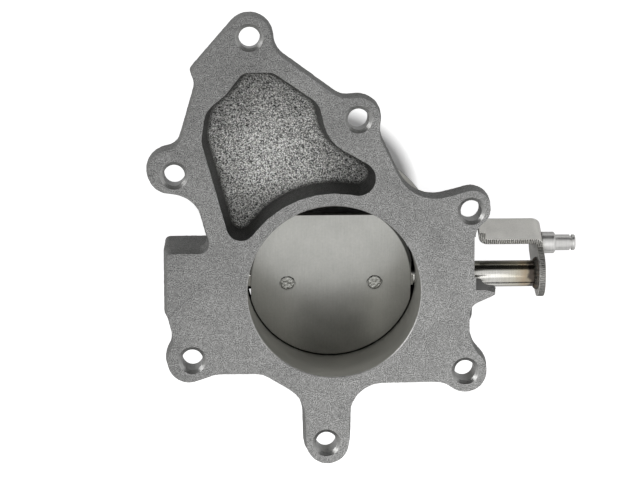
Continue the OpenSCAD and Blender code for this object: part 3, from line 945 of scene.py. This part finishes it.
class ADAPTER_OT_casting(bpy.types.Operator):
    """Builds the casting's skin, machines it and gives it its finishes"""

    bl_idname = "adapter.casting"
    bl_label = "Casting"

    def execute(self, context):
        settings = context.scene.adapter_casting
        cast_finish(settings.skin_colour)
        pocket_finish(settings.pocket_colour)
        face_finish(settings.face_colour)
        bored_finish(settings.bore_colour)
        drilled_finish(lighter(settings.face_colour, 1.6))
        # the broken edges and chamfers are partly bare filed metal, and partly a painted highlight
        # by their lifted colour
        edge_highlight_finish(lighter(settings.face_colour, 2.4))
        milled_finish(lighter(settings.face_colour, 0.9))
        body = cast_body(settings)
        round_mark(body)
        machine(body)
        break_edges(body, settings.edge_break)
        mark_pocket(body)
        body.name = "outlet_casting"
        shade(body, 32)
        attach(body, "casting")
        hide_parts("housing")
        return {"FINISHED"}


class ADAPTER_OT_plate(bpy.types.Operator):
    """Finishes the butterfly plate as satin sheet"""

    bl_idname = "adapter.plate"
    bl_label = "Butterfly plate"

    def execute(self, context):
        settings = context.scene.adapter_valve
        tilt = math.radians(PLATE_TILT)
        aside = PLATE_FACE * math.sin(tilt)
        places = []
        for node in ("plate_screw_left", "plate_screw_right"):
            low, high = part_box(node)
            centre = ((low.x + high.x) / 2 / MM, -aside, SHAFT_Z + PLATE_FACE * math.cos(tilt))
            places.append((centre, aside))
        piece = copy_of_node("satin_plate", "butterfly_plate")
        round_edges(piece, settings.edge_radius)
        piece.data.materials.append(plate_finish(settings.plate_colour, places))
        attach(piece, "valve")
        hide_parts("butterfly_plate")
        return {"FINISHED"}


def round_edges(piece, radius):
    """Merges flat facets into whole faces and breaks the crisp edges between them."""
    shape = bmesh.new()
    shape.from_mesh(piece.data)
    bmesh.ops.dissolve_limit(shape, angle_limit=math.radians(0.5), verts=shape.verts,
                             edges=shape.edges, use_dissolve_boundaries=False)
    crisp = [edge for edge in shape.edges
             if len(edge.link_faces) == 2 and edge.calc_face_angle() > math.radians(40)]
    bmesh.ops.bevel(shape, geom=crisp, offset=radius, segments=1, affect="EDGES",
                    clamp_overlap=True)
    shape.to_mesh(piece.data)
    shape.free()
    shade(piece, 25)


class ADAPTER_OT_shaft(bpy.types.Operator):
    """Finishes the shaft as ground steel with the weld's heat tint"""

    bl_idname = "adapter.shaft"
    bl_label = "Shaft"

    def execute(self, context):
        settings = context.scene.adapter_valve
        finish_node("butterfly_shaft", shaft_finish(settings.shaft_colour, settings.heat_colour),
                    settings.edge_radius)
        return {"FINISHED"}


class ADAPTER_OT_screws(bpy.types.Operator):
    """Models the two plate screws with peened ends"""

    bl_idname = "adapter.screws"
    bl_label = "Plate screws"

    def execute(self, context):
        material = screw_finish()
        for node in ("plate_screw_left", "plate_screw_right"):
            piece = copy_of_node("peened_" + node, node)
            remesh(piece, 0.16 * MM)
            soften(piece, 2)
            peen(piece)
            piece.data.materials.append(material)
            shade(piece, 60)
            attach(piece, "valve")
            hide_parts(node)
        return {"FINISHED"}


def peen(piece):
    """Dents the riveted end of a screw and flattens its rim unevenly."""
    tilt = Matrix.Rotation(math.radians(-PLATE_TILT), 3, "X")
    axis_place = Vector((0, 0, SHAFT_Z * MM))
    for vertex in piece.data.vertices:
        local = tilt @ (vertex.co - axis_place)
        if local.z / MM > PLATE_FACE - 0.3:
            place = vertex.co / MM
            dent = 0.16 * noise.noise(place * 0.9) + 0.10 * noise.noise(place * 2.1) - 0.06
            vertex.co += vertex.normal * dent * MM
    piece.data.update()


class ADAPTER_OT_inner_parts(bpy.types.Operator):
    """Finishes the bushings, the seal rings and the plug"""

    bl_idname = "adapter.inner_parts"
    bl_label = "Bushings, rings and plug"

    def execute(self, context):
        settings = context.scene.adapter_valve
        bronze = bushing_finish(settings.bushing_colour)
        ring = turned_finish("seal_ring_ground", (0.30, 0.29, 0.27), 0.3, 3.0, 0.006).material
        plug = turned_finish("plug_zinc", (0.55, 0.51, 0.40), 0.3, 0.8, 0.01).material
        for node in ("blind_end_bushing", "drive_end_bushing"):
            finish_node(node, bronze, 0.25 * MM)
        for node in ("seal_ring_inner", "seal_ring_outer"):
            finish_node(node, ring, 0.08 * MM)
        finish_node("expansion_plug", plug, 0.4 * MM)
        return {"FINISHED"}


class ADAPTER_OT_lever(bpy.types.Operator):
    """Models the bent lever with scored, sheared edges"""

    bl_idname = "adapter.lever"
    bl_label = "Lever"

    def execute(self, context):
        settings = context.scene.adapter_lever
        piece = copy_of_node("bent_lever", "lever")
        remesh(piece, settings.voxel)
        soften(piece, 3)
        score_edges(piece, settings.shear_depth, settings.shear_pitch)
        piece.data.materials.append(lever_finish(settings.sheet_colour))
        pitch = settings.shear_pitch / MM
        piece.data.materials.append(
            sheared_finish("strip_sheared", lighter(settings.sheet_colour, 0.72), False, pitch))
        piece.data.materials.append(
            sheared_finish("hub_sheared", lighter(settings.sheet_colour, 0.36), True, pitch))
        shade(piece, 60)
        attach(piece, "valve")
        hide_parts("lever")
        return {"FINISHED"}


def cut_edges(place, normal):
    """Whether a place on the upright lever lies on its strip's and on its hub's cut edge."""
    strip = abs(normal.z) > 0.8 and place.y > STRIP_START_Y * MM
    hub = abs(normal.x) < 0.45 and place.x > HUB_START_X * MM and place.y < HUB_END_Y * MM
    return strip, hub


def score_edges(piece, depth, pitch):
    """Scores the cut edges of the lever across the sheet, and marks them for their finish."""
    lean = Matrix.Rotation(math.radians(-LEVER_LEAN), 3, "X")
    centre = Vector((0, 0, SHAFT_Z * MM))
    mesh = piece.data
    turned_back = {}
    for vertex in mesh.vertices:
        turned_back[vertex.index] = (lean @ (vertex.co - centre), lean @ vertex.normal)
    moved = []
    for vertex in mesh.vertices:
        place, normal = turned_back[vertex.index]
        strip, hub = cut_edges(place, normal)
        if strip:
            along = place.x + place.y
        elif hub:
            along = math.atan2(place.y, place.z) * HUB_R * MM
        else:
            moved.append(vertex.co)
            continue
        wander = noise.noise(Vector((along / MM * 1.3, 0, 0)))
        wave = math.sin(2 * math.pi * along / pitch + 2.2 * wander)
        score = -depth * (0.5 + 0.5 * wave) * (0.7 + 0.6 * abs(wander))
        moved.append(vertex.co + vertex.normal * score)
    for polygon in mesh.polygons:
        strips = 0
        hubs = 0
        for index in polygon.vertices:
            strip, hub = cut_edges(*turned_back[index])
            hubs += hub
            strips += strip and not hub
        polygon.material_index = 2 if hubs >= 3 else 1 if strips >= 3 else 0
    for vertex, place in zip(mesh.vertices, moved):
        vertex.co = place
    mesh.update()


class ADAPTER_OT_weld(bpy.types.Operator):
    """Models the rippled weld bead between the lever and the shaft"""

    bl_idname = "adapter.weld"
    bl_label = "Weld"

    def execute(self, context):
        settings = context.scene.adapter_lever
        low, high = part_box("lever_weld")
        wall = high.x / MM + 0.1
        size = (high.x - low.x) / MM
        inner = SHAFT_R - 0.2
        around = 180
        across = 14
        vertices = []
        faces = []
        for i in range(around):
            angle = 2 * math.pi * i / around
            c = math.cos(angle)
            s = math.sin(angle)
            ripple = math.sin(angle * 26 + 2.5 * noise.noise(Vector((3 * c, 3 * s, 0))))
            bulge = 0.48 + 0.05 * ripple + 0.07 * noise.noise(Vector((2 * c, 2 * s, 5)))
            for j in range(across):
                bend = math.radians(90 * j / (across - 1))
                out = inner + size * bulge * math.sin(bend)
                along = wall - size * bulge * math.cos(bend)
                vertices.append((along, out * c, SHAFT_Z + out * s))
            vertices.append((wall, inner * c, SHAFT_Z + inner * s))
        row = across + 1
        for i in range(around):
            j = (i + 1) % around
            for k in range(row):
                n = (k + 1) % row
                faces.append((i * row + k, i * row + n, j * row + n, j * row + k))
        piece = add_object("weld_bead", vertices, faces)
        shape = bmesh.new()
        shape.from_mesh(piece.data)
        bmesh.ops.recalc_face_normals(shape, faces=shape.faces)
        shape.to_mesh(piece.data)
        shape.free()
        piece.data.materials.append(weld_finish(settings.weld_colour))
        shade(piece, 50)
        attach(piece, "valve")
        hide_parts("lever_weld")
        return {"FINISHED"}


class ADAPTER_OT_stud(bpy.types.Operator):
    """Finishes the turned clevis stud"""

    bl_idname = "adapter.stud"
    bl_label = "Clevis stud"

    def execute(self, context):
        settings = context.scene.adapter_lever
        finish = turned_finish("stud_turned", settings.stud_colour, 0.36, 3.4, 0.012, 0.8)
        finish_node("clevis_stud", finish.material, 0.2 * MM)
        return {"FINISHED"}


# Stage


class ADAPTER_OT_stage(bpy.types.Operator):
    """Sets the floor, the soft lamps and the camera at the photograph's angle"""

    bl_idname = "adapter.stage"
    bl_label = "Stage"

    def execute(self, context):
        settings = context.scene.adapter_stage
        context.scene.view_settings.view_transform = "Standard"
        add_floor()
        set_world(settings.world_colour)
        add_lamp("key_lamp", (-1.15, 0.62, 0.55), 0.6, settings.key_power)
        add_lamp("top_lamp", (0.1, -0.3, 1.65), 0.9, settings.top_power)
        add_card("far_card", 1250, 1300, 0.04)
        add_card("near_card", -1250, 420, 0.20)
        add_camera(settings)
        return {"FINISHED"}


def seen_directly(tree, kinds=("Camera", "Glossy", "Transmission")):
    """1 for rays of the given kinds, and 0 for all others."""
    rays = tree.nodes.new("ShaderNodeLightPath")
    total = None
    for name in [f"Is {kind} Ray" for kind in kinds]:
        if total is None:
            total = rays.outputs[name]
            continue
        either = tree.nodes.new("ShaderNodeMath")
        either.operation = "MAXIMUM"
        tree.links.new(total, either.inputs[0])
        tree.links.new(rays.outputs[name], either.inputs[1])
        total = either.outputs[0]
    return total


def lifted(tree, kinds, centre, start, end, most):
    """A lift for some kinds of ray, which fades out on the floor towards a centre."""
    place = tree.nodes.new("ShaderNodeTexCoord")
    away = tree.nodes.new("ShaderNodeVectorMath")
    away.operation = "DISTANCE"
    away.inputs[1].default_value = centre
    tree.links.new(place.outputs["Object"], away.inputs[0])
    fade = tree.nodes.new("ShaderNodeMapRange")
    fade.inputs["From Min"].default_value = start
    fade.inputs["From Max"].default_value = end
    fade.inputs["To Max"].default_value = most
    tree.links.new(away.outputs["Value"], fade.inputs["Value"])
    lift = tree.nodes.new("ShaderNodeMath")
    lift.operation = "MULTIPLY"
    tree.links.new(seen_directly(tree, kinds), lift.inputs[0])
    tree.links.new(fade.outputs["Result"], lift.inputs[1])
    return lift.outputs[0]


def add_floor():
    """A pale floor at the outlet face, lifted to white where it is seen, but for its shadow.

    It isn't lifted in the dark inside the outlet, nor for mirrored rays close to the part.
    """
    half = 1500
    floor = add_object("floor", [(-half, -half, -0.02), (half, -half, -0.02),
                                 (half, half, -0.02), (-half, half, -0.02)], [(0, 1, 2, 3)])
    material = bpy.data.materials.new("floor_paper")
    material.use_nodes = True
    tree = material.node_tree
    shader = tree.nodes["Principled BSDF"]
    shader.inputs["Base Color"].default_value = (0.80, 0.80, 0.80, 1)
    shader.inputs["Roughness"].default_value = 0.9
    shader.inputs["Emission Color"].default_value = (1, 1, 1, 1)
    seen = lifted(tree, ("Camera", "Transmission"), (0, 0.03, 0), 0.038, 0.044, 0.78)
    mirrored = lifted(tree, ("Glossy",), (0, 0.02, 0), 0.10, 0.25, 0.63)
    lift = tree.nodes.new("ShaderNodeMath")
    tree.links.new(seen, lift.inputs[0])
    tree.links.new(mirrored, lift.inputs[1])
    tree.links.new(lift.outputs[0], shader.inputs["Emission Strength"])
    floor.data.materials.append(material)


def set_world(colour):
    """Even light all around; what is seen or mirrored of it is plain white."""
    world = bpy.data.worlds.new("studio")
    bpy.context.scene.world = world
    world.use_nodes = True
    tree = world.node_tree
    plain = tree.nodes["Background"]
    plain.inputs["Color"].default_value = (*colour, 1)
    white = tree.nodes.new("ShaderNodeBackground")
    white.inputs["Color"].default_value = (1, 1, 1, 1)
    mix = tree.nodes.new("ShaderNodeMixShader")
    tree.links.new(seen_directly(tree), mix.inputs[0])
    tree.links.new(plain.outputs[0], mix.inputs[1])
    tree.links.new(white.outputs[0], mix.inputs[2])
    tree.links.new(mix.outputs[0], tree.nodes["World Output"].inputs["Surface"])


def add_card(name, y, top, shade_of_grey):
    """An upright dark card beside the part, to shape the reflections as in a studio."""
    half = 1400
    low = 20
    card = add_object(name, [(-half, y, low), (half, y, low), (half, y, top), (-half, y, top)],
                      [(0, 1, 2, 3)])
    material = bpy.data.materials.new(name + "_paper")
    material.use_nodes = True
    shader = material.node_tree.nodes["Principled BSDF"]
    shader.inputs["Base Color"].default_value = (shade_of_grey,) * 3 + (1,)
    shader.inputs["Roughness"].default_value = 1.0
    card.data.materials.append(material)
    card.visible_camera = False


def add_lamp(name, place, size, power):
    """A square soft lamp aimed at the middle of the part."""
    lamp = bpy.data.lights.new(name, "AREA")
    lamp.shape = "SQUARE"
    lamp.size = size
    lamp.energy = power
    piece = bpy.data.objects.new(name, lamp)
    piece.location = place
    aim = Vector((0, 0.01, 0.05)) - Vector(place)
    piece.rotation_euler = aim.to_track_quat("-Z", "Y").to_euler()
    bpy.context.scene.collection.objects.link(piece)


def add_camera(settings):
    """The camera looks at the inlet face, leaning as the photograph does."""
    data = bpy.data.cameras.new("camera")
    data.lens = settings.lens
    data.sensor_width = 36
    data.sensor_fit = "HORIZONTAL"
    camera = bpy.data.objects.new("camera", data)
    turn = (Matrix.Rotation(-settings.tilt, 3, "X") @ Matrix.Rotation(-settings.turn, 3, "Y")
            @ Matrix.Rotation(-settings.roll, 3, "Z"))
    aside = Vector((6.3 * MM, -22.9 * MM, -settings.distance))
    place = Vector((0, 0, FACE_Z * MM)) - turn @ aside
    camera.matrix_world = Matrix.Translation(place) @ turn.to_4x4()
    bpy.context.scene.collection.objects.link(camera)
    bpy.context.scene.camera = camera


# Panel and registration


class ADAPTER_PT_panel(bpy.types.Panel):
    """Lists the operators and their settings in the sidebar"""

    bl_idname = "ADAPTER_PT_panel"
    bl_label = "Exhaust Outlet Adapter"
    bl_space_type = "VIEW_3D"
    bl_region_type = "UI"
    bl_category = "Adapter"

    def draw(self, context):
        for step in STEPS:
            self.layout.operator(step.bl_idname)
        for group in GROUPS:
            settings = getattr(context.scene, group)
            for name in settings.bl_rna.properties.keys():
                if name not in ("rna_type", "name"):
                    self.layout.prop(settings, name)


GROUPS = {
    "adapter_casting": CastingSettings,
    "adapter_valve": ValveSettings,
    "adapter_lever": LeverSettings,
    "adapter_stage": StageSettings,
}
STEPS = (ADAPTER_OT_stage, ADAPTER_OT_casting, ADAPTER_OT_plate, ADAPTER_OT_shaft,
         ADAPTER_OT_screws, ADAPTER_OT_inner_parts, ADAPTER_OT_lever, ADAPTER_OT_weld,
         ADAPTER_OT_stud)
CLASSES = (*GROUPS.values(), *STEPS, ADAPTER_PT_panel)


def register():
    for item in CLASSES:
        bpy.utils.register_class(item)
    for name, group in GROUPS.items():
        setattr(bpy.types.Scene, name, bpy.props.PointerProperty(type=group))


def unregister():
    for name in GROUPS:
        delattr(bpy.types.Scene, name)
    for item in reversed(CLASSES):
        bpy.utils.unregister_class(item)


def main():
    register()
    for step in STEPS:
        getattr(bpy.ops.adapter, step.bl_idname.split(".")[1])()
    bpy.context.view_layer.update()


if __name__ == "__main__":
    main()
